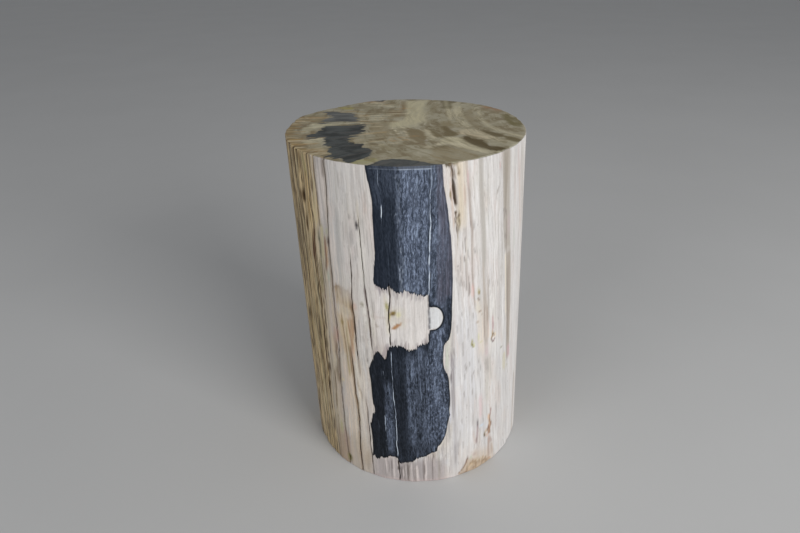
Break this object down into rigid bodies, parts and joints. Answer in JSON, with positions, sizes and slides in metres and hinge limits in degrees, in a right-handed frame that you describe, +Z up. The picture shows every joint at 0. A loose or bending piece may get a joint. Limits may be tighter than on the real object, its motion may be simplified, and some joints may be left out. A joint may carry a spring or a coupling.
{
  "type": "petrified wood stool",
  "caption": "Low drum-shaped seat or side table: a length of petrified log with sawn, polished ends and a ground side.",
  "frame": {"origin": "centre of the bounding box of the foot, on the face the stool stands on", "axes": "+Z up along the log, from the foot to the seat; -Y towards the front, the side with the black band; +X to the right seen from the front"},
  "size_m": [0.2924, 0.285, 0.42],
  "materials": {
    "petrified_wood": "silicified wood, cream and tan with black-grey zones; the side ground smooth along the grain, the ends polished"
  },
  "bodies": {
    "root": {"petrified_log": "petrified_wood"}
  },
  "joints": []
}
